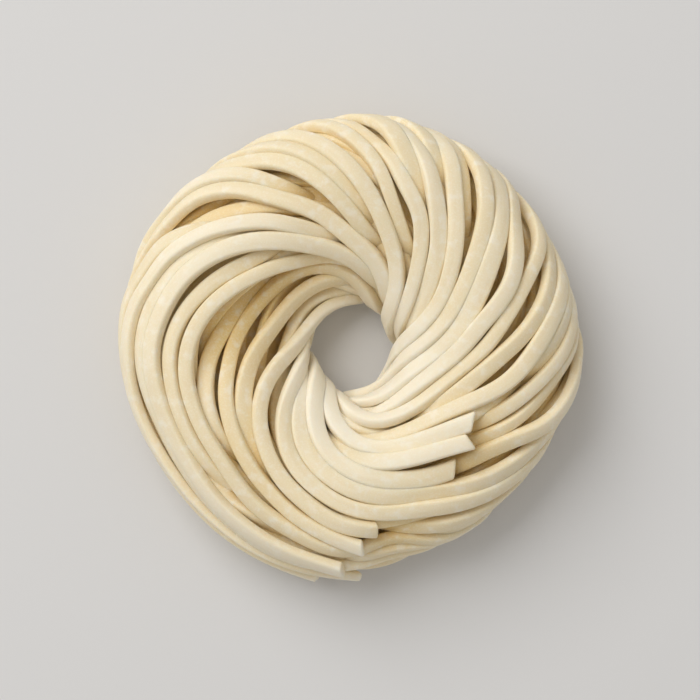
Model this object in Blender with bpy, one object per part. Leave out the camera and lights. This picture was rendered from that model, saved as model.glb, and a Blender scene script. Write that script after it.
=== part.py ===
"""A bundle of dried udon: flat-cut wheat noodles laid side by side, twisted into a skein and
curled into a ring round a small open eye. All sizes are in metres, +Z is up, and the bundle lies
on the plane z = 0 with its middle over the origin.

A place on the skein is given by two angles: azimuth, round the eye from +X towards +Y, and turn,
round the skein itself, which is 0 at the rim, a quarter at the crest, a half at the eye and three
quarters underneath."""

import bmesh
import bpy
import numpy as np
from math import cos, radians, sin, tau

# The ring as it lies, seen from above. A lobe is its order, its height and its first degree.
EYE_X = 0.0007  # the middle of the eye lies this far to the right of the bundle's middle
RING_RADIUS = 0.0500  # mean reach of the rim from the middle of the eye
RING_LOBES = ((1, 0.0019, 116), (2, 0.0004, 36), (3, 0.0004, 21), (4, 0.0009, -10))
EYE_RADIUS = 0.0098  # mean radius of the open eye
EYE_STRETCH = 0.0009  # the eye reaches this much further along Y, and less along X
CREST_HEIGHT = 0.0260  # top of the ring above the table
CREST_LEAN = 0.0012  # the ring is this much taller towards CREST_LEAN_TO
CREST_LEAN_TO = radians(30)
CREST_BIAS = 1.25  # over 1 puts the crest outside the middle, which makes the eye a funnel
WAIST_AT_EYE = 0.25  # height of the eye's narrowest place, as a share of the crest's
WAIST_AT_RIM = 0.42  # height of the widest place of the outer side, likewise
TOP_BEND = 0.9  # power of the sine of turn that the height over the waist follows: 1 is an ellipse
FOOT_BEND = 0.5  # the same below the waist, where less is flatter underneath

# One noodle, 3.4 mm wide at half its thickness.
NOODLE_THICKNESS = 0.0025
TOP_WIDTH = 0.0024
FOOT_WIDTH = 0.0044
STEP = 0.002  # the routes are worked out in steps of this length
BEND = radians(18)  # a noodle has a station for each bend of this much
LONGEST_SIDE = 0.012  # and at least one in this length

# How the noodles cover the skein.
FIRST_NOODLE = (radians(90), radians(80))  # azimuth and turn where the laying starts
PITCH = 0.0036  # from one noodle to the next
FREE_ENOUGH = 0.98  # a noodle may start where this share of a pitch is free
CROWDED = 0.0023  # a noodle dives under its neighbours where they come this close
SHORTEST = 0.020
LONGEST_TRAVEL = 1.1 * tau
TUCK_LENGTH = 0.010  # a noodle dives over this length at each end
TUCK_DEPTH = 0.0026
LOWEST = 0.84  # noodles are laid where the sine of turn is over -LOWEST

# Turning of the skein: radians about its own middle for each radian round the ring. It is
# tightest towards TIGHT_AT, and there the outer side turns faster than the eye's side.
TURN_MEAN, TURN_SWING, TIGHT_AT = 1.34, 0.95, radians(47)
TURN_SECOND, SECOND_AT = 0.26, radians(54)
RIM_MEAN, RIM_SWING, RIM_AT = 0.71, 0.91, radians(49)
RIM_SECOND, RIM_SECOND_AT = 0.39, radians(-57)
SLOWEST_TURN = 0.12

# Cut ends that show where the skein's head lies over its tail: azimuth and turn in degrees, and
# how far the end stands out of the skin.
CUT_ENDS = (
    (-31, 91, 0.0010),
    (-37, 85, 0.0010),
    (-45, 86, 0.0010),
    (-80, 62, 0.0014),
    (-82, 50, 0.0014),
    (-85, 37, 0.0014),
    (-90, 25, 0.0014),
    (-91, -6, 0.0022),
    (-97, -12, 0.0030),
    (-109, 12, 0.0014),
)
CUT_END_LENGTH = 0.020  # its noodle has dived again after this length

# The packed inside of the skein.
CORE_INSET = 0.0014  # the core's skin lies this far inside the bundle's
CORE_STATIONS = 40
CORE_SIDES = 18
FACES_KEPT = 0.80  # share of the faces left when the slivers of the union are merged
FLAT_FOOT = 0.9  # the core stands flat on the table where the sine of turn is under -FLAT_FOOT
SHARP_EDGE = radians(50)


def clear_scene():
    for obj in list(bpy.data.objects):
        bpy.data.objects.remove(obj)


def rim_radius(azimuth):
    lobes = (size * np.cos(order * (azimuth - radians(at))) for order, size, at in RING_LOBES)
    return RING_RADIUS + sum(lobes)


def eye_radius(azimuth):
    return EYE_RADIUS - EYE_STRETCH * np.cos(2 * azimuth)


def crest_height(azimuth):
    return CREST_HEIGHT + CREST_LEAN * np.cos(azimuth - CREST_LEAN_TO)


def skin_point(azimuth, turn, inset):
    """The point at these two angles on the skein's skin, or as far inside it as inset says."""
    eye = eye_radius(azimuth) + inset
    across = ((1 + np.cos(turn)) / 2) ** (1 / CREST_BIAS)
    radius = eye + (rim_radius(azimuth) - inset - eye) * across
    waist = CREST_HEIGHT * (WAIST_AT_EYE + (WAIST_AT_RIM - WAIST_AT_EYE) * across)
    rise = np.abs(np.sin(turn))
    top = waist + (crest_height(azimuth) - inset - waist) * rise**TOP_BEND
    foot = waist - (waist - inset) * rise**FOOT_BEND
    height = np.where(np.sin(turn) > 0, top, foot)
    x = EYE_X + radius * np.cos(azimuth)
    return np.stack([x, radius * np.sin(azimuth), height], axis=-1)


def noodle_point(azimuth, turn):
    return skin_point(azimuth, turn, NOODLE_THICKNESS / 2)


def turning(azimuth, turn):
    """How fast the skein turns about its own middle at this place."""
    whole = TURN_MEAN + TURN_SWING * cos(azimuth - TIGHT_AT)
    whole += TURN_SECOND * cos(2 * (azimuth - SECOND_AT))
    rim = RIM_MEAN + RIM_SWING * cos(azimuth - RIM_AT)
    rim += RIM_SECOND * cos(2 * (azimuth - RIM_SECOND_AT))
    return max(whole + rim * cos(turn), SLOWEST_TURN)


def slopes(azimuth, turn):
    """How the point of a noodle moves with azimuth and with turn."""
    small = 1e-4
    by_azimuth = noodle_point(azimuth + small, turn) - noodle_point(azimuth - small, turn)
    by_turn = noodle_point(azimuth, turn + small) - noodle_point(azimuth, turn - small)
    return by_azimuth / (2 * small), by_turn / (2 * small)


def stride(azimuth, turn):
    """Azimuth and turn gained in one step along a noodle, clockwise seen from above."""
    by_azimuth, by_turn = slopes(azimuth, turn)
    rate = turning(azimuth, turn)
    per_radian = np.linalg.norm(rate * by_turn - by_azimuth)
    return -STEP / per_radian, rate * STEP / per_radian


def next_place(azimuth, turn, sense):
    """The place one step on, by the slope half a step on."""
    along, around = stride(azimuth, turn)
    along, around = stride(azimuth + sense * along / 2, turn + sense * around / 2)
    return azimuth + sense * along, turn + sense * around


def place_beside(azimuth, turn, side):
    """The place one pitch away on the skin, square to the noodle."""
    by_azimuth, by_turn = slopes(azimuth, turn)
    along, around = stride(azimuth, turn)
    ahead = along * by_azimuth + around * by_turn
    aside, about = -(by_turn @ ahead), by_azimuth @ ahead
    scale = side * PITCH / np.linalg.norm(aside * by_azimuth + about * by_turn)
    return azimuth + scale * aside, turn + scale * about


def on_show(turn):
    return sin(turn) > -LOWEST


def is_clear(point, laid, distance):
    return len(laid) == 0 or ((laid - point) ** 2).sum(axis=1).min() >= distance**2


def run_from(place, laid, sense):
    """Places along a noodle, one way from a place, as far as it has room."""
    run = []
    azimuth, turn = place
    while abs(azimuth - place[0]) < LONGEST_TRAVEL / 2:
        azimuth, turn = next_place(azimuth, turn, sense)
        if not on_show(turn) or not is_clear(noodle_point(azimuth, turn), laid, CROWDED):
            break
        run.append((azimuth, turn))
    return run


def lay_noodles():
    """Lays noodles side by side: the first where FIRST_NOODLE says, and each other beside one that
    lies there already, wherever a full pitch is free. Each runs on both ways until its neighbours
    crowd it out or it comes to the foot."""
    noodles = []
    laid = np.zeros((0, 3))
    starts = [FIRST_NOODLE]
    while starts:
        start = starts.pop(0)
        if not on_show(start[1]) or not is_clear(noodle_point(*start), laid, FREE_ENOUGH * PITCH):
            continue
        run = run_from(start, laid, -1)[::-1] + [start] + run_from(start, laid, 1)
        if len(run) * STEP < SHORTEST:
            continue
        noodles.append(run)
        laid = np.vstack([laid, noodle_point(*np.transpose(run))])
        starts += [place_beside(*place, side) for place in run[::2] for side in (-1, 1)]
    return noodles


def outward_at(azimuth, turn):
    """The unit vectors that point out of the skin."""
    outward = noodle_point(azimuth, turn) - skin_point(azimuth, turn, 2 * NOODLE_THICKNESS)
    return outward / np.linalg.norm(outward, axis=1)[:, None]


def tucked(run):
    """The run with both of its ends drawn on and dived under: azimuths, turns and lifts."""
    steps = round(TUCK_LENGTH / STEP)
    run = list(run)
    for _ in range(steps):
        run.append(next_place(*run[-1], 1))
        run.insert(0, next_place(*run[0], -1))
    index = np.arange(len(run))
    from_end = np.clip(np.minimum(index, index[::-1]) / steps, 0, 1)
    return *np.transpose(run), -TUCK_DEPTH * (1 - from_end) ** 2


def cut_end(azimuth, turn, lift):
    """A noodle from its cut end, lifted out of the skin, to where it has dived, likewise."""
    run = [(azimuth, turn)]
    for _ in range(round(CUT_END_LENGTH / STEP)):
        run.append(next_place(*run[-1], 1))
    gone = np.linspace(0, 1, len(run))
    return *np.transpose(run), lift - (lift + TUCK_DEPTH) * gone**2


def stations(points):
    """Which points of a route its noodle needs: closer together where it bends more."""
    ahead = np.diff(points, axis=0)
    length = np.linalg.norm(ahead, axis=1)
    ahead /= length[:, None]
    bend = np.arccos(np.clip((ahead[1:] * ahead[:-1]).sum(axis=1), -1, 1))
    share = np.maximum(bend / BEND, length[1:] / LONGEST_SIDE).cumsum()
    wanted = np.linspace(0, share[-1], max(int(share[-1]) + 1, 3))
    return np.unique([0, *np.searchsorted(share, wanted[1:-1]) + 1, len(points) - 1])


def noodle_rings(azimuth, turn, lift):
    """The corners of a noodle's section at each of its stations. A section is a little wider below
    than above, so that noodles side by side meet in a groove."""
    outward = outward_at(azimuth, turn)
    points = noodle_point(azimuth, turn) + lift[:, None] * outward
    ahead = np.gradient(points, axis=0)
    aside = np.cross(ahead, outward)
    aside /= np.linalg.norm(aside, axis=1)[:, None]
    corners = ((-TOP_WIDTH, 1), (TOP_WIDTH, 1), (FOOT_WIDTH, -1), (-FOOT_WIDTH, -1))
    rings = [
        points + width / 2 * aside + side * NOODLE_THICKNESS / 2 * outward
        for width, side in corners
    ]
    return np.stack(rings, axis=1)[stations(points)]


def loft(name, rings, closed):
    """A solid through these rings of points. Closed, its last ring is joined to its first, and
    otherwise its first and last rings are filled."""
    work = bmesh.new()
    rings = [[work.verts.new(point) for point in ring] for ring in rings]
    if closed:
        rings.append(rings[0])
    else:
        work.faces.new(rings[0])
        work.faces.new(rings[-1])
    for here, there in zip(rings, rings[1:]):
        for k in range(len(here)):
            work.faces.new((here[k - 1], there[k - 1], there[k], here[k]))
    bmesh.ops.recalc_face_normals(work, faces=work.faces)
    mesh = bpy.data.meshes.new(name)
    work.to_mesh(mesh)
    work.free()
    return bpy.data.objects.new(name, mesh)


def skein_core(name):
    """The packed inside of the skein, as a ring lofted through its sections."""
    azimuth = np.arange(CORE_STATIONS)[:, None] * tau / CORE_STATIONS
    turn = np.arange(CORE_SIDES)[None, :] * tau / CORE_SIDES
    rings = skin_point(azimuth, turn, CORE_INSET)
    rings[:, np.sin(turn[0]) < -FLAT_FOOT, 2] = 0
    return loft(name, rings, closed=True)


def keep_outer_skin(mesh):
    """Drops loose scraps and the skins of sealed hollows, which fills them. Two skins may share a
    corner, so a skin is followed from face to face over their edges."""
    work = bmesh.new()
    work.from_mesh(mesh)
    bmesh.ops.triangulate(work, faces=work.faces)
    unseen = set(work.faces)
    skins = []
    while unseen:
        front = [unseen.pop()]
        skin = list(front)
        while front:
            for edge in front.pop().edges:
                for face in edge.link_faces:
                    if edge.is_manifold and face in unseen:
                        unseen.remove(face)
                        front.append(face)
                        skin.append(face)
        skins.append(skin)
    skins.sort(key=len, reverse=True)
    for scrap in skins[1:]:
        bmesh.ops.delete(work, geom=scrap, context="FACES")
    work.to_mesh(mesh)
    work.free()


def apply_modifiers(obj):
    bpy.context.view_layer.update()
    evaluated = obj.evaluated_get(bpy.context.evaluated_depsgraph_get())
    mesh = bpy.data.meshes.new_from_object(evaluated)
    obj.modifiers.clear()
    obj.data = mesh


def dried_noodle_material():
    material = bpy.data.materials.new("dried_noodle")
    material.use_nodes = True
    shader = material.node_tree.nodes["Principled BSDF"]
    shader.inputs["Base Color"].default_value = (0.86, 0.76, 0.56, 1)
    shader.inputs["Roughness"].default_value = 0.55
    shader.inputs["Metallic"].default_value = 0.0
    return material


def build():
    clear_scene()
    parts = bpy.data.collections.new("udon_bundle")
    noodles = bpy.data.collections.new("noodles")
    for collection in (parts, noodles):
        bpy.context.scene.collection.children.link(collection)

    bundle = skein_core("udon_bundle")
    parts.objects.link(bundle)

    routes = [tucked(run) for run in lay_noodles()]
    routes += [cut_end(radians(azimuth), radians(turn), lift) for azimuth, turn, lift in CUT_ENDS]
    for k, route in enumerate(routes):
        noodles.objects.link(loft(f"noodle_{k:02d}", noodle_rings(*route), closed=False))

    fuse = bundle.modifiers.new("fuse_noodles", "BOOLEAN")
    fuse.operation = "UNION"
    fuse.operand_type = "COLLECTION"
    fuse.collection = noodles
    fuse.solver = "EXACT"
    apply_modifiers(bundle)
    for obj in list(noodles.objects):
        bpy.data.objects.remove(obj)
    keep_outer_skin(bundle.data)

    thin = bundle.modifiers.new("merge_slivers", "DECIMATE")
    thin.ratio = FACES_KEPT
    apply_modifiers(bundle)
    keep_outer_skin(bundle.data)

    bundle.data.materials.clear()
    bundle.data.materials.append(dried_noodle_material())
    bundle.data.shade_smooth()
    bundle.data.set_sharp_from_angle(angle=SHARP_EDGE)


build()
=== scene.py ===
from collections import namedtuple
from math import cos, pi, radians, tau
from types import SimpleNamespace

import bpy
import numpy as np
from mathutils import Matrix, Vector


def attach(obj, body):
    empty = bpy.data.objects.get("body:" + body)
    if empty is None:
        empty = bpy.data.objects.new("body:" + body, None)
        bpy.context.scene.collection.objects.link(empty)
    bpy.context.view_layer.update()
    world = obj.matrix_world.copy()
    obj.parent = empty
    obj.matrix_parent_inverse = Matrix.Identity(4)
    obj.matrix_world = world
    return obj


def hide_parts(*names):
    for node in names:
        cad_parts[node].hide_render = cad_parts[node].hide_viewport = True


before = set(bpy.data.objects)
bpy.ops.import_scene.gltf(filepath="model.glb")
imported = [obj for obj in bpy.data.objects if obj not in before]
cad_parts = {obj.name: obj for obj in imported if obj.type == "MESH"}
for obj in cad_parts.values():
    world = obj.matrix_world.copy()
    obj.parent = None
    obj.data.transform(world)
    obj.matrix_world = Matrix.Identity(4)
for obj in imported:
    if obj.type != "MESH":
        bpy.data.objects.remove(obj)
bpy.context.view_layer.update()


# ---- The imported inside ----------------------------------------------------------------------
# Flat-cut noodles of wheat dough are taken up side by side, twisted into a skein and curled into
# a ring round a small open eye while they are soft, clockwise and inwards seen from above. Deep
# inside they dry to one mass, of which only glimpses show, so it is one plain ring in their form.

# A place on the skein has an azimuth, round the eye from +X, and a turn: 0 at the rim, 90 degrees
# at the crest, 180 at the eye and 270 underneath. Its inset is its depth under the skin. A lobe
# of the rim is a wave: how many go round, how high it is, and the azimuth of its first top.
EYE_X = 0.0007
RING_RADIUS = 0.0500
RING_LOBES = ((1, 0.0019, 116), (2, 0.0004, 36), (3, 0.0004, 21), (4, 0.0009, -10))
EYE_RADIUS, EYE_STRETCH = 0.0098, 0.0009
CREST_HEIGHT = 0.0260
CREST_LEAN, CREST_LEAN_TO = 0.0012, radians(30)
CREST_BIAS = 1.25
WAIST_AT_EYE, WAIST_AT_RIM = 0.25, 0.42
TOP_BEND, FOOT_BEND = 0.9, 0.5
SHALLOW, DEEPER = 0.0005, 0.0035


def skein_point(azimuth, turn, inset):
    """The ring's section swept round the eye: the radius goes from eye to rim with the cosine of
    turn, and the height from the waist to the crest or the table with a power of its sine."""
    eye = EYE_RADIUS - EYE_STRETCH * np.cos(2 * azimuth) + inset
    rim = RING_RADIUS - inset
    for order, height, first in RING_LOBES:
        rim = rim + height * np.cos(order * (azimuth - radians(first)))
    across = ((1 + np.cos(turn)) / 2) ** (1 / CREST_BIAS)
    radius = eye + (rim - eye) * across
    waist = CREST_HEIGHT * (WAIST_AT_EYE + (WAIST_AT_RIM - WAIST_AT_EYE) * across)
    crest = CREST_HEIGHT + CREST_LEAN * np.cos(azimuth - CREST_LEAN_TO) - inset
    rise = np.abs(np.sin(turn))
    above = waist + (crest - waist) * rise**TOP_BEND
    below = waist - (waist - inset) * rise**FOOT_BEND
    height = np.where(np.sin(turn) > 0, above, below)
    x = EYE_X + radius * np.cos(azimuth)
    return np.stack([x, radius * np.sin(azimuth), height], axis=-1)


def unit(vectors):
    """The same directions, each with a length of 1."""
    return vectors / np.linalg.norm(vectors, axis=-1)[..., None]


def skein_outward(azimuth, turn):
    """Unit vectors out of the skein: from a place under its skin to the one right above it."""
    return unit(skein_point(azimuth, turn, SHALLOW) - skein_point(azimuth, turn, DEEPER))


# Where groups of noodles parted as they dried: the course in pixels of the photo, clockwise round
# the eye, how wide it gapes, how much lower the noodles lie on its right, towards the eye, and
# how far out that reaches. Where the step is negative, those on its left lie lower.
PIXEL = 0.00061
EYE_PIXEL = (350.5, 353)
Parting = namedtuple("Parting", "course gap step reach")
PARTINGS = (
    # From below, round the left of the eye and over its top: the noodles next to the eye turn
    # down into it and under the rest.
    Parting(((335, 425), (326, 414), (320, 407), (313, 399), (308, 388), (302, 375), (298, 366),
             (297.5, 350), (300, 344)), 0.0032, 0.0026, 0.009),
    Parting(((300, 372), (297, 355), (306, 341), (311, 334), (320, 327), (329, 322), (336, 320),
             (346, 321), (353, 327), (361, 336)), 0.0024, 0.0070, 0.014),
    Parting(((306.5, 366), (305, 356), (305.5, 344)), 0.0016, 0.0006, 0.004),
    # On the upper left.
    Parting(((280, 307), (288, 304), (304, 301), (319, 303)), 0.0046, 0.0006, 0.005),
    Parting(((314, 287.5), (328, 290), (337.5, 297), (344, 303), (350, 312), (354, 320)),
            0.0044, 0.0010, 0.006),
    Parting(((328, 302), (337.5, 307), (347.5, 314)), 0.0022, 0.0006, 0.004),
    Parting(((284, 338), (289, 333), (295, 327), (304, 322), (320, 320)), 0.0022, 0.0005, 0.004),
    Parting(((272, 332), (275, 328), (281, 318.5)), 0.0026, 0, 0.004),
    # From the top to the right, where the noodles fan out of the eye.
    Parting(((349, 273), (352, 275), (360, 278), (368, 283)), 0.0030, 0.0002, 0.004),
    Parting(((363, 284), (366, 290), (368, 297), (374, 309), (379, 318), (380, 326)),
            0.0042, 0.0008, 0.005),
    Parting(((387, 274), (389, 282), (391, 297), (395, 312), (393, 322), (388, 334)),
            0.0042, 0.0008, 0.005),
    Parting(((404, 291), (407, 300), (411, 313), (412, 326)), 0.0034, 0.0004, 0.004),
    Parting(((406, 314), (405, 322), (400.6, 334), (393, 342)), 0.0036, 0.0006, 0.004),
    Parting(((420, 322), (416, 331), (407, 343), (398, 350)), 0.0038, 0.0006, 0.004),
    Parting(((424, 350), (417, 354), (410, 358), (400, 364), (384, 370)), 0.0028, 0.0006, 0.004),
    Parting(((426, 352), (424, 361), (418, 372), (409, 381)), 0.0030, 0.0010, 0.005),
    # On the lower right, on both sides of the cut ends.
    Parting(((412, 381), (407.5, 386), (401, 391), (394, 397), (384, 402), (374, 403)),
            0.0040, 0.0024, 0.005),
    Parting(((396, 388), (392, 390), (384, 394), (372, 395), (361, 393)), 0.0028, -0.0028, 0.006),
    # On the lower left, and between the noodles next to the eye.
    Parting(((300, 411), (291, 400), (287, 392), (283, 382), (280.6, 371), (280, 358)),
            0.0014, 0, 0.004),
    Parting(((336, 415), (332, 409), (327.5, 403)), 0.0016, 0.0003, 0.004),
    Parting(((323, 388), (322.5, 381), (322, 371), (326, 362), (331, 354)), 0.0020, 0.0008, 0.005),
    Parting(((328, 344), (336, 338), (346, 335)), 0.0014, 0.0006, 0.004),
    Parting(((357, 431), (363, 423), (362, 415)), 0.0022, 0.0020, 0.004),
)

# The two sides of a parting are told apart over EDGE. It fades out at its blunt ends and where the
# skin turns down the side. The inner noodles and the ring lie up to DEEP lower still under one that
# gapes by WIDE_GAP. The hollow is a small dark dip among the cut ends, in pixels too.
EDGE = 0.001
UPPER_FROM, UPPER_FULL = 0.05, 0.55
ENDS_BLUNT = 0.6
WIDE_GAP, DEEP, DEEP_REACH = 0.003, 0.0030, 0.0022
HOLLOW = (366, 419.5)
HOLLOW_RADIUS, HOLLOW_DEPTH = 0.0036, 0.0110


def from_photo(pixels):
    """Pixels of the photo, which looks straight down, as places in metres."""
    x, y = np.transpose(pixels)
    return np.stack([EYE_X + (x - EYE_PIXEL[0]) * PIXEL, (EYE_PIXEL[1] - y) * PIXEL], axis=-1)


def beside_course(spots, course):
    """For each spot, its distance to the right of a course of straight legs, the unit vector that
    way, and how far along the course the nearest place lies, from 0 to 1."""
    legs = np.diff(course, axis=0)
    length = np.linalg.norm(legs, axis=1)
    ahead = legs / length[:, None]
    right = np.stack([ahead[:, 1], -ahead[:, 0]], axis=-1)
    to_spot = spots[:, None] - course[:-1]
    reached = np.clip((to_spot * ahead).sum(axis=2), 0, length)
    off = to_spot - reached[..., None] * ahead
    nearest = np.linalg.norm(off, axis=2).argmin(axis=1)
    row = np.arange(len(spots))
    side = (off[row, nearest] * right[nearest]).sum(axis=1)
    distance = np.linalg.norm(off[row, nearest], axis=1)
    along = (np.cumsum(length) - length)[nearest] + reached[row, nearest]
    return np.where(side < 0, -distance, distance), right[nearest], along / length.sum()


def strength(along, outward):
    """How much of a parting there is: a power of a half wave from its start to its end, on the
    top of the skein only."""
    upper = np.clip((outward[:, 2] - UPPER_FROM) / (UPPER_FULL - UPPER_FROM), 0, 1)
    return np.clip(np.sin(pi * along), 0, 1) ** ENDS_BLUNT * upper


def lowered(spots, outward):
    """How far these spots lie under the skin: a parting's step on its lower side, times a bell of
    the distance to it, or the small hollow among the cut ends, whichever is most."""
    depth = np.zeros(len(spots))
    for parting in PARTINGS:
        distance, _, along = beside_course(spots[:, :2], from_photo(parting.course))
        distance *= np.sign(parting.step)
        side = (1 + np.tanh(distance / EDGE)) / 2
        bell = np.exp(-((distance / parting.reach) ** 2))
        depth = np.maximum(depth, abs(parting.step) * side * bell * strength(along, outward))
    away = np.linalg.norm(spots[:, :2] - from_photo([HOLLOW]), axis=1)
    hollow = HOLLOW_DEPTH * np.exp(-((away / HOLLOW_RADIUS) ** 2)) * (outward[:, 2] > 0)
    return np.maximum(depth, hollow)


def deepened(spots, outward):
    """How much lower still the skein is under its outer noodles: a narrow bell along each
    parting, as deep as DEEP where it gapes wide."""
    depth = np.zeros(len(spots))
    for parting in PARTINGS:
        distance, _, along = beside_course(spots[:, :2], from_photo(parting.course))
        bell = np.exp(-((distance / DEEP_REACH) ** 2)) * strength(along, outward)
        depth = np.maximum(depth, min(parting.gap / WIDE_GAP, 1) * DEEP * bell)
    return depth


# The finish of dried dough, in linear colours: each coat lies over those before it, and its share
# goes from least to most while its pattern goes from low to high. Every noodle is a little paler
# or yellower than the next, with fine streaks along it, whose scale is per metre ahead and per turn
# round it. It is painted paler where it stands out, a painted highlight, and darker golden where it
# lies deep, a painted shade, and flour sticks to it in patches and as dust.
Coat = namedtuple("Coat", "colour low high least most")
YELLOW_DOUGH = (0.86, 0.735, 0.49, 1)
PALE_DOUGH = Coat((0.91, 0.80, 0.585, 1), 0, 1, 0, 1)
STREAKS = Coat((0.80, 0.66, 0.41, 1), 0.40, 0.64, 0, 0.35)
# Painted highlight: noodles at the skin are painted paler.
PAINTED_CREST_HIGHLIGHT = Coat((0.96, 0.90, 0.78, 1), -0.0010, 0.0012, 0.55, 0)
# Painted shade: the deeper a place lies under the skin, the darker golden it is painted.
PAINTED_DEPTH_SHADE = Coat((0.84, 0.62, 0.26, 1), 0.0010, 0.0065, 0, 1)
FLOUR_PATCHES = Coat((0.95, 0.90, 0.79, 1), 0.50, 0.72, 0, 0.45)
FLOUR_DUST = Coat((0.96, 0.91, 0.80, 1), 0.45, 0.75, 0, 0.30)
STREAKS_AHEAD, STREAKS_ROUND, STREAKS_DETAIL = 90, 9, 4
PATCHES_PER_METRE, PATCHES_DETAIL = 420, 6
SPECKS_PER_METRE, SPECKS_DETAIL = 2600, 3
ROUGH_FROM, ROUGH_TO = (0.35, 0.50), (0.70, 0.78)
RIDGE_HEIGHT, RIDGE_STRENGTH = 0.00012, 0.35
POWDER_HEIGHT, POWDER_STRENGTH = 0.00006, 0.25
GLOW_COLOUR, GLOW_DEPTH, GLOW_SHARE = (1.0, 0.86, 0.66), 0.0010, 0.40
SHINE = 0.35


def node(nodes, kind, **settings):
    """A new node with these settings: a socket's value where the name is a socket's."""
    made = nodes.new(kind)
    for key, value in settings.items():
        socket = key.replace("_", " ")
        if socket in made.inputs:
            made.inputs[socket].default_value = value
        else:
            setattr(made, key, value)
    return made


def dried_dough():
    """Coats of colour from the dough up to its flour, with low ridges along the streaks and finer
    ones for the dust. The noodle's own shade comes from "tint", the depth under the skin from
    "sunk", and the streaks' direction from the map "along"."""
    material = bpy.data.materials.new("dried_noodle")
    material.use_nodes = True
    nodes, links = material.node_tree.nodes, material.node_tree.links
    shader = nodes["Principled BSDF"]

    def ranged(pattern, low, high, least, most):
        """A smooth step of the pattern: least below low, most above high."""
        fit = node(nodes, "ShaderNodeMapRange", interpolation_type="SMOOTHSTEP", From_Min=low,
                   From_Max=high, To_Min=least, To_Max=most)
        links.new(pattern, fit.inputs["Value"])
        return fit.outputs["Result"]

    def coated(under, pattern, coat):
        """The colour under a coat, mixed with the coat's own by its share."""
        mix = node(nodes, "ShaderNodeMix", data_type="RGBA")
        share = ranged(pattern, coat.low, coat.high, coat.least, coat.most)
        links.new(share, mix.inputs["Factor"])
        mix.inputs["B"].default_value = coat.colour
        if isinstance(under, tuple):
            mix.inputs["A"].default_value = under
        else:
            links.new(under, mix.inputs["A"])
        return mix.outputs["Result"]

    def grain(vector, scale, detail):
        """A noise of this scale."""
        noise = node(nodes, "ShaderNodeTexNoise", Scale=scale, Detail=detail)
        links.new(vector, noise.inputs["Vector"])
        return noise.outputs["Fac"]

    tint = node(nodes, "ShaderNodeAttribute", attribute_name="tint").outputs["Fac"]
    sunk = node(nodes, "ShaderNodeAttribute", attribute_name="sunk").outputs["Fac"]
    place = node(nodes, "ShaderNodeTexCoord").outputs["Object"]
    along = node(nodes, "ShaderNodeUVMap", uv_map="along").outputs["UV"]
    stretched = node(nodes, "ShaderNodeMapping", Scale=(STREAKS_AHEAD, STREAKS_ROUND, 1))
    links.new(along, stretched.inputs["Vector"])
    streaks = grain(stretched.outputs["Vector"], 1, STREAKS_DETAIL)
    patches = grain(place, PATCHES_PER_METRE, PATCHES_DETAIL)
    dust = grain(place, SPECKS_PER_METRE, SPECKS_DETAIL)

    colour = coated(YELLOW_DOUGH, tint, PALE_DOUGH)
    colour = coated(colour, streaks, STREAKS)
    # Painted highlight on the noodles that lie at the skin.
    colour = coated(colour, sunk, PAINTED_CREST_HIGHLIGHT)
    # Painted shade on whatever lies deep.
    colour = coated(colour, sunk, PAINTED_DEPTH_SHADE)
    colour = coated(colour, patches, FLOUR_PATCHES)
    colour = coated(colour, dust, FLOUR_DUST)
    links.new(colour, shader.inputs["Base Color"])
    (low, least), (high, most) = ROUGH_FROM, ROUGH_TO
    links.new(ranged(patches, low, high, least, most), shader.inputs["Roughness"])

    ridges = node(nodes, "ShaderNodeBump", Strength=RIDGE_STRENGTH, Distance=RIDGE_HEIGHT)
    powder = node(nodes, "ShaderNodeBump", Strength=POWDER_STRENGTH, Distance=POWDER_HEIGHT)
    links.new(streaks, ridges.inputs["Height"])
    links.new(dust, powder.inputs["Height"])
    links.new(ridges.outputs["Normal"], powder.inputs["Normal"])
    links.new(powder.outputs["Normal"], shader.inputs["Normal"])

    shader.inputs["Subsurface Weight"].default_value = GLOW_SHARE
    shader.inputs["Subsurface Radius"].default_value = GLOW_COLOUR
    shader.inputs["Subsurface Scale"].default_value = GLOW_DEPTH
    shader.inputs["Specular IOR Level"].default_value = SHINE
    return material


dough = dried_dough()


def new_piece(name, places, faces):
    """A smooth mesh of these places and faces, finished as dried dough."""
    mesh = bpy.data.meshes.new(name)
    mesh.from_pydata(places, [], faces)
    mesh.shade_smooth()
    mesh.materials.append(dough)
    piece = bpy.data.objects.new(name, mesh)
    bpy.context.scene.collection.objects.link(piece)
    return piece


def set_values(piece, key, values):
    """One number for each vertex, under this name, for the finish to read."""
    attribute = piece.data.attributes.new(key, "FLOAT", "POINT")
    attribute.data.foreach_set("value", np.ravel(values).astype(np.float32))


# The ring lies under two layers of noodles: the insets of their middles, and of its own surface.
NOODLE_THICKNESS = 0.0025
SKIN_GAP, LAYER_PITCH, UNDER_INNER = 0.0003, 0.0024, 0.0015
OUTER_INSET = NOODLE_THICKNESS / 2 + SKIN_GAP
INNER_INSET = OUTER_INSET + LAYER_PITCH
PACKED_INSET = INNER_INSET + UNDER_INNER
AROUND, ACROSS = 128, 48
SOFTENED_ROUNDS = 10

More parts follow.
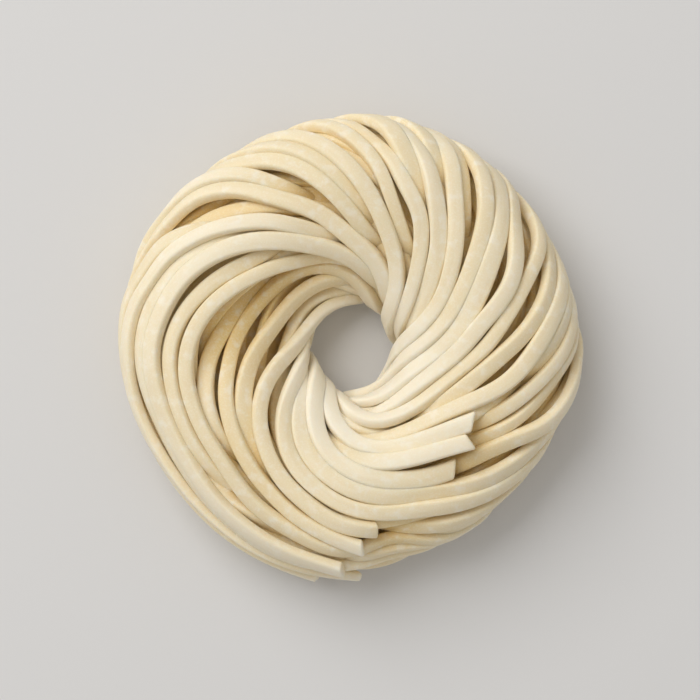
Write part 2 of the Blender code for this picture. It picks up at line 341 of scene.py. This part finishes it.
azimuth = np.arange(AROUND)[:, None] * tau / AROUND
turn = np.arange(ACROSS)[None] * tau / ACROSS
places = skein_point(azimuth, turn, PACKED_INSET).reshape(-1, 3)
outward = skein_outward(azimuth, turn).reshape(-1, 3)
depth = (lowered(places, outward) + deepened(places, outward)).reshape(AROUND, ACROSS)
for _ in range(SOFTENED_ROUNDS):
    for axis in (0, 1):
        depth = 0.5 * depth + 0.25 * (np.roll(depth, 1, axis) + np.roll(depth, -1, axis))
places = places - depth.reshape(-1, 1) * outward
here = np.arange(AROUND * ACROSS).reshape(AROUND, ACROSS)
onward, above = np.roll(here, -1, axis=0), np.roll(here, -1, axis=1)
faces = np.stack([here, onward, np.roll(above, -1, axis=0), above], axis=-1).reshape(-1, 4)

packed_inside = new_piece("packed_inside", places, faces.tolist())
# Its depth under the skin sets the painted shade, so this deep ring is painted darker golden.
set_values(packed_inside, "sunk", PACKED_INSET + depth)
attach(packed_inside, "root")
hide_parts("udon_bundle")


# ---- The noodles ----------------------------------------------------------------------------
# Wheat dough cut flat, 3.6 mm wide and 2.5 mm thick. In each of two layers the noodles lie side
# by side along the twist, each until its neighbours crowd it out and it dives under them. They
# dried pressed together, in groups that parted here and there, with a few cut ends in sight.

NOODLE_WIDTH = 0.0036

# How many radians of turn a noodle gains for each radian round the ring, and where it gains most,
# on the whole skein, on its outer side and at the funnel. The rate wanders from place to place.
TURN_MEAN, TURN_SWING, TIGHT_AT = 1.34, 0.95, radians(47)
TURN_SECOND, SECOND_AT = 0.26, radians(54)
RIM_MEAN, RIM_SWING, RIM_AT = 0.71, 0.91, radians(49)
RIM_SECOND, RIM_SECOND_AT = 0.39, radians(-57)
FUNNEL_AT, FUNNEL_SPREAD = radians(228), radians(42)
FUNNEL_EDGE, FUNNEL_SOFT = radians(92), radians(12)
FUNNEL_INSIDE, FUNNEL_OUTSIDE = 0.34, -0.15
FUNNEL_TO, FUNNEL_FADE = radians(175), radians(40)
SLOWEST_TURN = 0.12
WANDER, WANDER_WAVES, WANDER_MOST = 0.32, 7, 3


def turning(azimuth, turn):
    """A mean and two waves round the ring, and the same again times the cosine of turn, which
    makes the outer side turn faster."""
    whole = TURN_MEAN + TURN_SWING * cos(azimuth - TIGHT_AT)
    whole += TURN_SECOND * cos(2 * (azimuth - SECOND_AT))
    rim = RIM_MEAN + RIM_SWING * cos(azimuth - RIM_AT)
    rim += RIM_SECOND * cos(2 * (azimuth - RIM_SECOND_AT))
    return max(whole + rim * cos(turn), SLOWEST_TURN)


def funnel_turning(azimuth, turn):
    """What is added on the left, in a bell of azimuth: the noodles inside the crest turn faster
    and run under those outside it, which turn slower, with a soft step from one to the other."""
    turn = turn % tau
    near = np.exp(-(((azimuth - FUNNEL_AT + pi) % tau - pi) / FUNNEL_SPREAD) ** 2)
    inside = (1 + np.tanh((turn - FUNNEL_EDGE) / FUNNEL_SOFT)) / 2
    fading = np.clip((FUNNEL_TO - turn) / FUNNEL_FADE, 0, 1) * np.clip(turn / FUNNEL_FADE, 0, 1)
    return near * fading * (FUNNEL_OUTSIDE + (FUNNEL_INSIDE - FUNNEL_OUTSIDE) * inside)


# A noodle is followed one STEP at a time, and slopes are taken over SMALL radians. Noodles of one
# group lie close beside each other, and the next group a little further off. A run stops where it
# comes too near to another, on the wall under the rim only nearer still, and it is left out where
# it is short. A run is joined to one that starts soon after it and in line.
STEP = 0.002
SMALL = 1e-4
CLOSE, APART = (0.0031, 0.0035), (0.0039, 0.0046)
GROUP_SIZES = (1, 2, 2, 3, 3)
FREE_ENOUGH = 0.97
CROWDED = 0.0023
WALL_FROM, WALL_TO, WALL_SHARE = radians(-75), radians(8), 0.6
LONGEST_TRAVEL = 1.1 * tau
SHORTEST = 0.018
JOIN_REACH, JOIN_IN_LINE, END_PLACES = 0.013, 0.86, 3

# An end that isn't cut off in sight is led on and down, and its last steps go through what they
# meet. Each group and each noodle has a depth of its own, less of it on the eye's wall, where
# the noodles lie fuller. A group is crowned: its outer noodles lie lower and lean outwards.
TUCK_LENGTH = 0.010
DIVE_LENGTH, DIVE_DEPTH, DIVE_BEND = 0.024, 0.0052, 1.7
PLUNGE_LENGTH, PLUNGE_DEPTH = 0.012, 0.0028
BURIED_STEPS = 4
GROUP_DEPTH = 0.0012
OWN_DEPTH, OWN_WAVES = 0.0004, (30, 90)
CROWN, LEAN = 0.0008, radians(14)
SOFTENED_STEPS = 5
SIDELONG, SIDELONG_WAVES, LONGER_WAVES = 0.00025, (120, 260), (60, 120)
EYE_FROM, EYE_ALL = radians(125), radians(160)
EYE_SMOOTHER = 0.8
EYE_FULLER, EYE_FULLER_BELOW = 0.0020, 0.0007


def eye_share(turn):
    """How much a place belongs to the eye's wall: a smooth step from EYE_FROM to EYE_ALL, and
    the same on the way back underneath."""
    part = np.clip((np.abs((turn + pi) % tau - pi) - EYE_FROM) / (EYE_ALL - EYE_FROM), 0, 1)
    return part**2 * (3 - 2 * part)


def ripple(draw, travel, waves):
    """A sine along a noodle, with a frequency drawn between these two, in radians per metre, and
    a phase drawn too."""
    return np.sin(travel * draw.uniform(*waves) + draw.uniform(0, tau))


def softened(values, added):
    """The running mean of these values over SOFTENED_STEPS each way, after so many more of the
    first and of the last are put before and behind them."""
    window = np.ones(2 * SOFTENED_STEPS + 1) / (2 * SOFTENED_STEPS + 1)
    padded = np.pad(np.pad(values, added, mode="edge"), SOFTENED_STEPS, mode="edge")
    return np.convolve(padded, window, mode="valid")


def bridged(before, after, steps):
    """Two rows of values as one, with evenly spaced ones between them, so many steps apart."""
    between = np.linspace(before[-1], after[0], steps + 1)[1:-1]
    return np.concatenate([before, between, after])


class Layer:
    """One layer of noodles, laid one by one. Each starts beside one that lies there and is
    followed both ways along the twist, a step at a time, as far as it has room."""

    def __init__(self, inset, twist, apart, seed):
        self.inset = inset
        self.twist = twist
        self.apart = apart
        self.draw = np.random.default_rng(seed)
        self.waves = self.draw.integers(-WANDER_MOST, WANDER_MOST + 1, (WANDER_WAVES, 2))
        self.phases = self.draw.uniform(0, tau, WANDER_WAVES)
        self.laid = np.zeros((0, 3))
        self.noodles = []

    def point(self, azimuth, turn):
        """The point of this place in the middle of the layer."""
        return skein_point(azimuth, turn, self.inset)

    def rate(self, azimuth, turn):
        """The twist's turning, which wanders with the mean of a few waves over the skin."""
        wave = np.cos(self.waves @ (azimuth, turn) + self.phases).mean()
        rate = self.twist * turning(azimuth, turn) * (1 + WANDER * wave)
        return max(rate + funnel_turning(azimuth, turn), SLOWEST_TURN)

    def slopes(self, azimuth, turn):
        """How the point moves for a radian of azimuth and for one of turn."""
        by_azimuth = self.point(azimuth + SMALL, turn) - self.point(azimuth - SMALL, turn)
        by_turn = self.point(azimuth, turn + SMALL) - self.point(azimuth, turn - SMALL)
        return by_azimuth / (2 * SMALL), by_turn / (2 * SMALL)

    def stride(self, azimuth, turn):
        """One step along the twist, clockwise, as a change of azimuth and of turn."""
        by_azimuth, by_turn = self.slopes(azimuth, turn)
        rate = self.rate(azimuth, turn)
        per_radian = np.linalg.norm(rate * by_turn - by_azimuth)
        return -STEP / per_radian, rate * STEP / per_radian

    def next_place(self, azimuth, turn, sense):
        """A step on or back, with the stride that holds in its middle."""
        along, around = self.stride(azimuth, turn)
        along, around = self.stride(azimuth + sense * along / 2, turn + sense * around / 2)
        return azimuth + sense * along, turn + sense * around

    def place_beside(self, azimuth, turn, side, pitch):
        """The place square to the twist on this side, so far away over the skin."""
        by_azimuth, by_turn = self.slopes(azimuth, turn)
        along, around = self.stride(azimuth, turn)
        ahead = along * by_azimuth + around * by_turn
        aside, about = -(by_turn @ ahead), by_azimuth @ ahead
        scale = side * pitch / np.linalg.norm(aside * by_azimuth + about * by_turn)
        return azimuth + scale * aside, turn + scale * about

    def is_clear(self, place, distance):
        """Whether nothing that lies there is nearer than this distance."""
        if not len(self.laid):
            return True
        return ((self.laid - self.point(*place)) ** 2).sum(axis=1).min() >= distance**2

    def run_from(self, place, sense):
        """The places from this one on or back, up to where there is no more room."""
        run = []
        here = place
        while abs(here[0] - place[0]) < LONGEST_TRAVEL / 2:
            here = self.next_place(*here, sense)
            on_wall = WALL_FROM < (here[1] + pi) % tau - pi < WALL_TO
            if not self.is_clear(here, CROWDED * (WALL_SHARE if on_wall else 1)):
                break
            run.append(here)
        return run

    def new_group(self, most):
        """A group of at most so many noodles, with the depth that it lies at."""
        return SimpleNamespace(most=most, ranks=[], depth=self.draw.uniform(0, GROUP_DEPTH))

    def lay(self, run, group, rank, cut=False, rise=0, sinking=STEP):
        """Adds a noodle: its run of places, its rank in its group, and if its first end is cut
        in sight, how far that rises and the length over which it sinks to the rest."""
        self.laid = np.vstack([self.laid, self.point(*np.transpose(run))])
        group.ranks.append(rank)
        self.noodles.append(SimpleNamespace(run=np.array(run), group=group, rank=rank, cut=cut,
                                            rise=rise, sinking=sinking, joined=False))

    def lay_cut_ends(self, ends):
        """The noodles whose cut ends are seen, from there on clockwise, each a group alone."""
        for azimuth, turn, rise, sinking in ends:
            start = (radians(azimuth), radians(turn))
            group = self.new_group(1)
            group.depth = 0
            self.lay([start] + self.run_from(start, 1), group, 0, True, rise, sinking)

    def fill(self, azimuth, turn):
        """Lays noodles from here on, beside those that lie there already, until none has room."""
        starts = [((azimuth, turn), max(CLOSE), self.new_group(max(GROUP_SIZES)), 0)]
        for noodle in self.noodles:
            starts += self.starts_beside(noodle.run, noodle.group, noodle.rank)
        while starts:
            start, pitch, group, rank = starts.pop(0)
            full = len(group.ranks) >= group.most
            if full or not self.is_clear(start, FREE_ENOUGH * pitch):
                continue
            run = self.run_from(start, -1)[::-1] + [start] + self.run_from(start, 1)
            if len(run) * STEP < SHORTEST:
                continue
            self.lay(run, group, rank)
            starts += self.starts_beside(run, group, rank)

    def starts_beside(self, run, group, rank):
        """Starts on both sides of a noodle, beside every second place: close by in its own group,
        or further off in a new group."""
        starts = []
        for side in (-1, 1):
            near, far = self.draw.uniform(*CLOSE), self.draw.uniform(*self.apart)
            next_group = self.new_group(self.draw.choice(GROUP_SIZES))
            for here in run[::2]:
                starts.append((self.place_beside(*here, side, near), near, group, rank + side))
            for here in run[::2]:
                starts.append((self.place_beside(*here, side, far), far, next_group, 0))
        return starts

    def crown(self):
        """Each noodle's depth grows with the square of its way off its group's middle, and it
        leans by as much as it is off."""
        for noodle in self.noodles:
            first, last = min(noodle.group.ranks), max(noodle.group.ranks)
            off = (noodle.rank - (first + last) / 2) / max((last - first) / 2, 1)
            noodle.depth = np.full(len(noodle.run), noodle.group.depth + CROWN * off**2)
            noodle.lean = np.full(len(noodle.run), LEAN * off)

    def end_of(self, noodle, last):
        """Where a run ends and which way it heads there, forwards, over its last few places."""
        run = noodle.run[-END_PLACES:] if last else noodle.run[:END_PLACES]
        here = self.point(*run.T)
        return (here[-1] if last else here[0]), unit(here[-1] - here[0])

    def next_in_line(self, first):
        """The nearest noodle that starts soon after this one's end, in line with both, or none."""
        end, heading = self.end_of(first, True)
        best, nearest = None, JOIN_REACH
        for other in self.noodles:
            if other is first or other.cut or other.joined:
                continue
            start, heading_on = self.end_of(other, False)
            gap = start - end
            distance = np.linalg.norm(gap)
            in_line = min(gap @ heading, gap @ heading_on) > JOIN_IN_LINE * distance
            if distance < nearest and in_line:
                best, nearest = other, distance
        return best, nearest

    def join(self):
        """Makes one noodle of two in line, with evenly spaced places between them."""
        for first in self.noodles:
            while not first.joined:
                other, distance = self.next_in_line(first)
                if other is None:
                    break
                run = other.run + np.round((first.run[-1] - other.run[0]) / tau) * tau
                steps = max(round(distance / STEP), 1)
                first.run = bridged(first.run, run, steps)
                first.depth = bridged(first.depth, other.depth, steps)
                first.lean = bridged(first.lean, other.lean, steps)
                other.joined = True
        self.noodles = [noodle for noodle in self.noodles if not noodle.joined]

    def shape(self):
        """Works out each noodle's middle line: its place on the skein, less the depth of its
        group, its own and its dive to each end, plus its rise and its sidelong bends."""
        extra = round(TUCK_LENGTH / STEP)
        for noodle in self.noodles:
            run = [tuple(place) for place in noodle.run]
            for _ in range(extra):
                run.append(self.next_place(*run[-1], 1))
                if not noodle.cut:
                    run.insert(0, self.next_place(*run[0], -1))
            added = (0 if noodle.cut else extra, extra)
            azimuth, turn = np.transpose(run)
            index = np.arange(len(run))
            to_end = index[::-1] if noodle.cut else np.minimum(index, index[::-1])
            travel = index * STEP
            dive = DIVE_DEPTH * (1 - np.clip(to_end * STEP / DIVE_LENGTH, 0, 1)) ** DIVE_BEND
            own = self.draw.exponential(OWN_DEPTH) * (1 + ripple(self.draw, travel, OWN_WAVES)) / 2
            sidelong = ripple(self.draw, travel, SIDELONG_WAVES)
            sidelong = SIDELONG * (sidelong + ripple(self.draw, travel, LONGER_WAVES))
            rise = noodle.rise * (1 - np.clip(travel / noodle.sinking, 0, 1)) ** 2
            at_eye = eye_share(turn)
            depth = (own + softened(noodle.depth, added)) * (1 - EYE_SMOOTHER * at_eye)
            fuller = (EYE_FULLER - EYE_FULLER_BELOW * np.sin(azimuth)) * at_eye
            middle = self.point(azimuth, turn)
            noodle.outward = skein_outward(azimuth, turn)
            aside = unit(np.cross(np.gradient(middle, axis=0), noodle.outward))
            height = rise - dive - depth + fuller
            noodle.middle = middle + height[:, None] * noodle.outward + sidelong[:, None] * aside
            noodle.skin = skein_point(azimuth, turn, 0)
            noodle.lean = softened(noodle.lean, added)[:, None]
            noodle.buried = to_end < BURIED_STEPS
            noodle.plunge = PLUNGE_DEPTH * (1 - np.clip(to_end * STEP / PLUNGE_LENGTH, 0, 1)) ** 2


# Cut ends where the skein's head lies over its tail, near the bottom: azimuth and turn in
# degrees, how far the end stands out of the skin, and the length over which it sinks to it.
CUT_ENDS = (
    (-29, 92, 0.0010, 0.030),
    (-36, 84, 0.0012, 0.030),
    (-47, 78, 0.0006, 0.030),
    (-80, 63, 0.0012, 0.024),
    (-85, 51, 0.0016, 0.020),
    (-91, 27, 0.0014, 0.022),
    (-88, -5, 0.0016, 0.020),
    (-97, -12, 0.0026, 0.020),
)
FIRST_AZIMUTH, FIRST_TURN = radians(90), radians(80)
INNER_TWIST = 0.62

outer = Layer(OUTER_INSET, 1, APART, seed=3)
outer.lay_cut_ends(CUT_ENDS)
inner = Layer(INNER_INSET, INNER_TWIST, CLOSE, seed=8)
for layer in (outer, inner):
    layer.fill(FIRST_AZIMUTH, FIRST_TURN)
    layer.crown()
    layer.join()
    layer.shape()

# Settling: rounds in which noodles that overlap push each other apart, each as a flattened oval,
# and are drawn back towards where they aim. Buried ends don't push.
GAP_REACH = 0.0040
GAP_EVENED, DEPTH_EVENED = 5, 12
AIM_EVENED, OUTWARD_EVENED = 14, 5
ROUNDS, ROUNDS_TO_LOOK = 60, 10
NEAR, NEAR_STEPS = 0.0045, 5
WIDTH_SHARE, THICKNESS_SHARE = 0.95, 0.97
ABREAST = STEP * 0.75
PUSH, HARDEST_PUSH = 0.3, 0.2
SHIFT_KEPT, SHIFT_EVENED = 0.985, 2
CHUNK = 1500


def opened(spots, outward, owner):
    """How far noodles move apart: half of each parting's gap, less with the distance to it. A
    noodle goes to the side that most of it near the parting is on."""
    shift = np.zeros_like(spots)
    for parting in PARTINGS:
        distance, right, along = beside_course(spots[:, :2], from_photo(parting.course))
        here = strength(along, outward)
        near = np.exp(-((distance / GAP_REACH) ** 2)) * here
        total = np.bincount(owner, near * np.tanh(distance / EDGE))
        side = np.where(total[owner] < 0, -1, 1)
        share = np.exp(-np.abs(distance) / GAP_REACH) * here
        shift[:, :2] += (parting.gap / 2 * side * share)[:, None] * right
    return shift


class Heap:
    """All places of all noodles in one array, with those before and after each on its noodle.
    Each aims at its noodle's evened middle line, moved apart and sunk where there are partings."""

    def __init__(self, layers):
        noodles = [noodle for layer in layers for noodle in layer.noodles]
        self.layer_of = [layer for layer in layers for _ in layer.noodles]
        self.owner = np.repeat(np.arange(len(noodles)), [len(noodle.skin) for noodle in noodles])
        index = np.arange(len(self.owner))
        self.before = np.where(np.roll(self.owner, 1) == self.owner, index - 1, index)
        self.after = np.where(np.roll(self.owner, -1) == self.owner, index + 1, index)

        def gathered(key):
            """The values that all noodles have under this name, one noodle after another."""
            return np.concatenate([getattr(noodle, key) for noodle in noodles])

        middle, outward = gathered("middle"), gathered("outward")
        self.skin = gathered("skin")
        self.lean = gathered("lean")
        self.buried = gathered("buried")
        self.plunge = gathered("plunge")
        under = np.array([layer is not layers[0] for layer in self.layer_of])[self.owner]
        depth = lowered(middle, outward) + np.where(under, deepened(middle, outward), 0)
        apart = self.evened(opened(middle, outward, self.owner), GAP_EVENED)
        sinking = self.evened(depth[:, None] * outward, DEPTH_EVENED)
        even = self.evened(middle, AIM_EVENED)
        self.aim = even + self.evened(middle - even, AIM_EVENED) + apart - sinking
        self.outward = unit(self.evened(outward, OUTWARD_EVENED))
        self.place = self.aim.copy()

    def evened(self, values, times):
        """Each value is drawn half way to those before and after it, so many times over."""
        for _ in range(times):
            values = 0.5 * values + 0.25 * (values[self.before] + values[self.after])
        return values

    def pairs(self):
        """Every two places that are near, of two noodles or far apart along one, from the squares
        of all distances, a chunk of rows at a time."""
        square = (self.place**2).sum(axis=1)
        found = []
        for first in range(0, len(square), CHUNK):
            rows = slice(first, first + CHUNK)
            gap = square[rows, None] + square - 2 * self.place[rows] @ self.place.T
            here, there = np.nonzero(gap < NEAR**2)
            here += first
            apart = (self.owner[here] != self.owner[there]) | (there - here > NEAR_STEPS)
            kept = (here < there) & apart & ~(self.buried[here] | self.buried[there])
            found.append(np.stack([here[kept], there[kept]]))
        return np.hstack(found)

    def settle(self):
        """Each round moves both of a pair along the line between them, by a share of how far their
        ovals overlap where they are abreast, then evens each noodle's shift from its aim. In the
        end the dives go their last way down."""
        width, thickness = WIDTH_SHARE * NOODLE_WIDTH, THICKNESS_SHARE * NOODLE_THICKNESS
        for count in range(ROUNDS):
            if count % ROUNDS_TO_LOOK == 0:
                here, there = self.pairs()
            ahead = unit(self.place[self.after] - self.place[self.before])
            gap = self.place[there] - self.place[here]
            along = (gap * ahead[here]).sum(axis=1)
            gap = gap - along[:, None] * ahead[here]
            up = (gap * unit(self.outward[here] + self.outward[there])).sum(axis=1)
            aside = np.sqrt(np.maximum((gap**2).sum(axis=1) - up**2, 0))
            size = np.hypot(aside / width, up / thickness)
            hit = (size < 1) & (np.abs(along) < ABREAST)
            push = (PUSH * (1 / np.maximum(size[hit], HARDEST_PUSH) - 1))[:, None] * gap[hit]
            move, pushes = np.zeros_like(self.place), np.zeros(len(self.place))
            for sense, end in ((1, there[hit]), (-1, here[hit])):
                np.add.at(move, end, sense * push)
                np.add.at(pushes, end, 1)
            shift = self.place + move / np.sqrt(np.maximum(pushes, 1))[:, None] - self.aim
            self.place = self.aim + SHIFT_KEPT * self.evened(shift, SHIFT_EVENED)
            self.place[:, 2] = np.maximum(self.place[:, 2], NOODLE_THICKNESS / 2)
        self.place -= self.plunge[:, None] * self.outward


heap = Heap([outer, inner])
heap.settle()

# Their shape: a rounded oblong section, which varies a little in width, thickness and roll along
# the noodle. The cut is slanted, and its edge is worn round by CAP.
SIDES, SQUARENESS = 14, 4.2
CAP = 0.0003
SLANT, SLANT_ROWS = 0.0011, 5
WIDTH_VARIES, WIDTH_RIPPLE, WIDTH_WAVES = 0.10, 0.04, (60, 160)
THICKNESS_VARIES, THICKNESS_RIPPLE, THICKNESS_WAVES = 0.05, 0.03, (80, 200)
ROLL, ROLL_WAVES = (0.03, 0.16), (30, 90)


def smooth_between(values, times):
    """More rows between these, on a curve through them all: a cubic from each to the next, whose
    slope at a row is half the way from the row before it to the row after it."""
    count = len(values)
    at = np.arange((count - 1) * times + 1) / times
    first = np.clip(np.floor(at).astype(int), 0, count - 2)
    part = (at - first)[:, None]
    a, b, c, d = (values[np.clip(first + k, 0, count - 1)] for k in (-1, 0, 1, 2))
    return 0.5 * (
        2 * b + (c - a) * part + (2 * a - 5 * b + 4 * c - d) * part**2
        + (3 * b - a - 3 * c + d) * part**3
    )


def noodle_mesh(middle, outward, width, thickness, roll, slant):
    """A superellipse carried along the noodle and turned about it by roll, closed at each end by
    a smaller ring and a middle point, with its first rows sheared to a slant. Returns vertices,
    four-sided faces, the three-sided ones of the ends, each corner's way along the noodle and
    round it, and those of the ends, which are x and y."""
    ahead = unit(np.gradient(middle, axis=0))
    up = unit(outward - (outward * ahead).sum(axis=1)[:, None] * ahead)
    aside = np.cross(ahead, up)
    cosine, sine = np.cos(roll)[:, None], np.sin(roll)[:, None]
    up, aside = up * cosine + aside * sine, aside * cosine - up * sine
    angle = (np.arange(SIDES) + 0.5) * tau / SIDES
    x, y = (
        np.sign(wave) * np.abs(wave) ** (2 / SQUARENESS) for wave in (np.cos(angle), np.sin(angle))
    )

    def rings(at, forward, less):
        """The section at these rows, so far forward and so much smaller all round."""
        across = x[:, None] * (width[at] / 2 - less)[:, None, None] * aside[at][:, None]
        high = y[:, None] * (thickness[at] / 2 - less)[:, None, None] * up[at][:, None]
        return (middle[at] + forward * ahead[at])[:, None] + across + high

    grid = np.concatenate([rings([0], -CAP, CAP), rings(slice(None), 0, 0), rings([-1], CAP, CAP)])
    shear = slant * np.clip(1 - (np.arange(len(grid)) - 1) / SLANT_ROWS, 0, 1)
    grid += shear[:, None, None] * x[:, None] * ahead[0]
    vertices = np.vstack([grid.reshape(-1, 3), grid[0].mean(axis=0), grid[-1].mean(axis=0)])

    here = np.arange(grid[..., 0].size).reshape(len(grid), SIDES)
    beside = np.roll(here, -1, axis=1)
    quads = np.stack([here[:-1], here[1:], beside[1:], beside[:-1]], axis=-1).reshape(-1, 4)
    start, end = np.full(SIDES, here.size), np.full(SIDES, here.size + 1)
    caps = np.concatenate([
        np.stack([start, here[0], beside[0]], axis=-1),
        np.stack([end, beside[-1], here[-1]], axis=-1),
    ])
    travel = np.linalg.norm(np.diff(grid.mean(axis=1), axis=0), axis=1).cumsum()
    row = np.concatenate([[0], travel])[quads.reshape(-1, SIDES, 4) // SIDES]
    round_it = (np.arange(SIDES)[:, None] + (0, 0, 1, 1)) / SIDES
    corners = np.stack([row, np.broadcast_to(round_it, row.shape)], axis=-1).reshape(-1, 2)
    return vertices, quads, caps, corners, vertices[caps][..., :2].reshape(-1, 2)


def noodles_piece(name, layer, times, seed):
    """All noodles of a layer in one mesh, with so many rows a step. Nothing goes through the
    table: what would is pressed flat on it."""
    draw = np.random.default_rng(seed)
    made = []
    count = 0
    for number, of_layer in enumerate(heap.layer_of):
        if of_layer is not layer:
            continue
        middle, outward, skin, lean = (
            smooth_between(values[heap.owner == number], times)
            for values in (heap.place, heap.outward, heap.skin, heap.lean)
        )
        travel = np.arange(len(middle)) * STEP / times
        width = NOODLE_WIDTH * (1 + WIDTH_VARIES * draw.normal())
        width = width * (1 + WIDTH_RIPPLE * ripple(draw, travel, WIDTH_WAVES))
        thickness = NOODLE_THICKNESS * (1 + THICKNESS_VARIES * draw.normal())
        thickness = thickness * (1 + THICKNESS_RIPPLE * ripple(draw, travel, THICKNESS_WAVES))
        roll = lean[:, 0] + draw.uniform(*ROLL) * ripple(draw, travel, ROLL_WAVES)
        slant = draw.uniform(-SLANT, SLANT)
        own = draw.random()
        points, sides, ends, ways, end_ways = noodle_mesh(
            middle, outward, width, thickness, roll, slant
        )
        row = np.repeat(np.pad(np.arange(len(middle)), 1, mode="edge"), SIDES)
        row = np.concatenate([row, [0, -1]])
        # Depth under the skin: near it this sets the painted highlight, deeper down the painted
        # shade.
        sunk = ((skin[row] - points) * unit(outward)[row]).sum(axis=1)
        made.append((points, sides + count, ends + count, ways + (own, 0), end_ways + (own, 0),
                     np.full(len(points), own), sunk))
        count += len(points)
    points, sides, ends, ways, end_ways, tint, sunk = map(np.concatenate, zip(*made))
    points[:, 2] = np.maximum(points[:, 2], 0)
    piece = new_piece(name, points, sides.tolist() + ends.tolist())
    along = piece.data.uv_layers.new(name="along")
    along.data.foreach_set("uv", np.concatenate([ways, end_ways]).astype(np.float32).ravel())
    set_values(piece, "tint", tint)
    set_values(piece, "sunk", sunk)
    return piece


outer_noodles = noodles_piece("outer_noodles", outer, times=2, seed=1)
inner_noodles = noodles_piece("inner_noodles", inner, times=1, seed=2)
for piece in (outer_noodles, inner_noodles):
    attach(piece, "root")
    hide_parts("udon_bundle")


# ---- The stage ------------------------------------------------------------------------------
# A plain pale floor, a broad soft window on the upper left, light from all round, and a camera
# straight above with a long lens.

FLOOR_REACH, FLOOR_COLOUR, FLOOR_ROUGHNESS = 2, (0.72, 0.71, 0.70, 1), 0.7
ROOM_COLOUR, ROOM_STRENGTH = (1.0, 0.985, 0.96, 1), 0.47
WINDOW_SIZE, WINDOW_WATTS, WINDOW_PLACE = 1.3, 18.5, Vector((-0.8, 0.8, 1.2))
VIEW_WIDTH, LENS, SENSOR = 0.155, 135, 36

floor_mesh = bpy.data.meshes.new("floor")
sides = ((-1, -1), (1, -1), (1, 1), (-1, 1))
corners = [(x * FLOOR_REACH, y * FLOOR_REACH, 0) for x, y in sides]
floor_mesh.from_pydata(corners, [], [(0, 1, 2, 3)])
floor = bpy.data.objects.new("floor", floor_mesh)
bpy.context.scene.collection.objects.link(floor)
paint = bpy.data.materials.new("pale_floor")
paint.use_nodes = True
surface = paint.node_tree.nodes["Principled BSDF"]
surface.inputs["Base Color"].default_value = FLOOR_COLOUR
surface.inputs["Roughness"].default_value = FLOOR_ROUGHNESS
floor_mesh.materials.append(paint)

room = bpy.data.worlds.new("room")
room.use_nodes = True
air = room.node_tree.nodes["Background"]
air.inputs["Color"].default_value = ROOM_COLOUR
air.inputs["Strength"].default_value = ROOM_STRENGTH
bpy.context.scene.world = room

light = bpy.data.lights.new("window", "AREA")
light.size = WINDOW_SIZE
light.energy = WINDOW_WATTS
window = bpy.data.objects.new("window", light)
window.location = WINDOW_PLACE
window.rotation_euler = (-WINDOW_PLACE).to_track_quat("-Z", "Y").to_euler()
bpy.context.scene.collection.objects.link(window)

camera_data = bpy.data.cameras.new("camera")
camera_data.lens = LENS
camera_data.sensor_width = SENSOR
camera = bpy.data.objects.new("camera", camera_data)
camera.location = (0, 0, VIEW_WIDTH * LENS / SENSOR)
bpy.context.scene.collection.objects.link(camera)
bpy.context.scene.camera = camera
bpy.context.scene.view_settings.view_transform = "Standard"
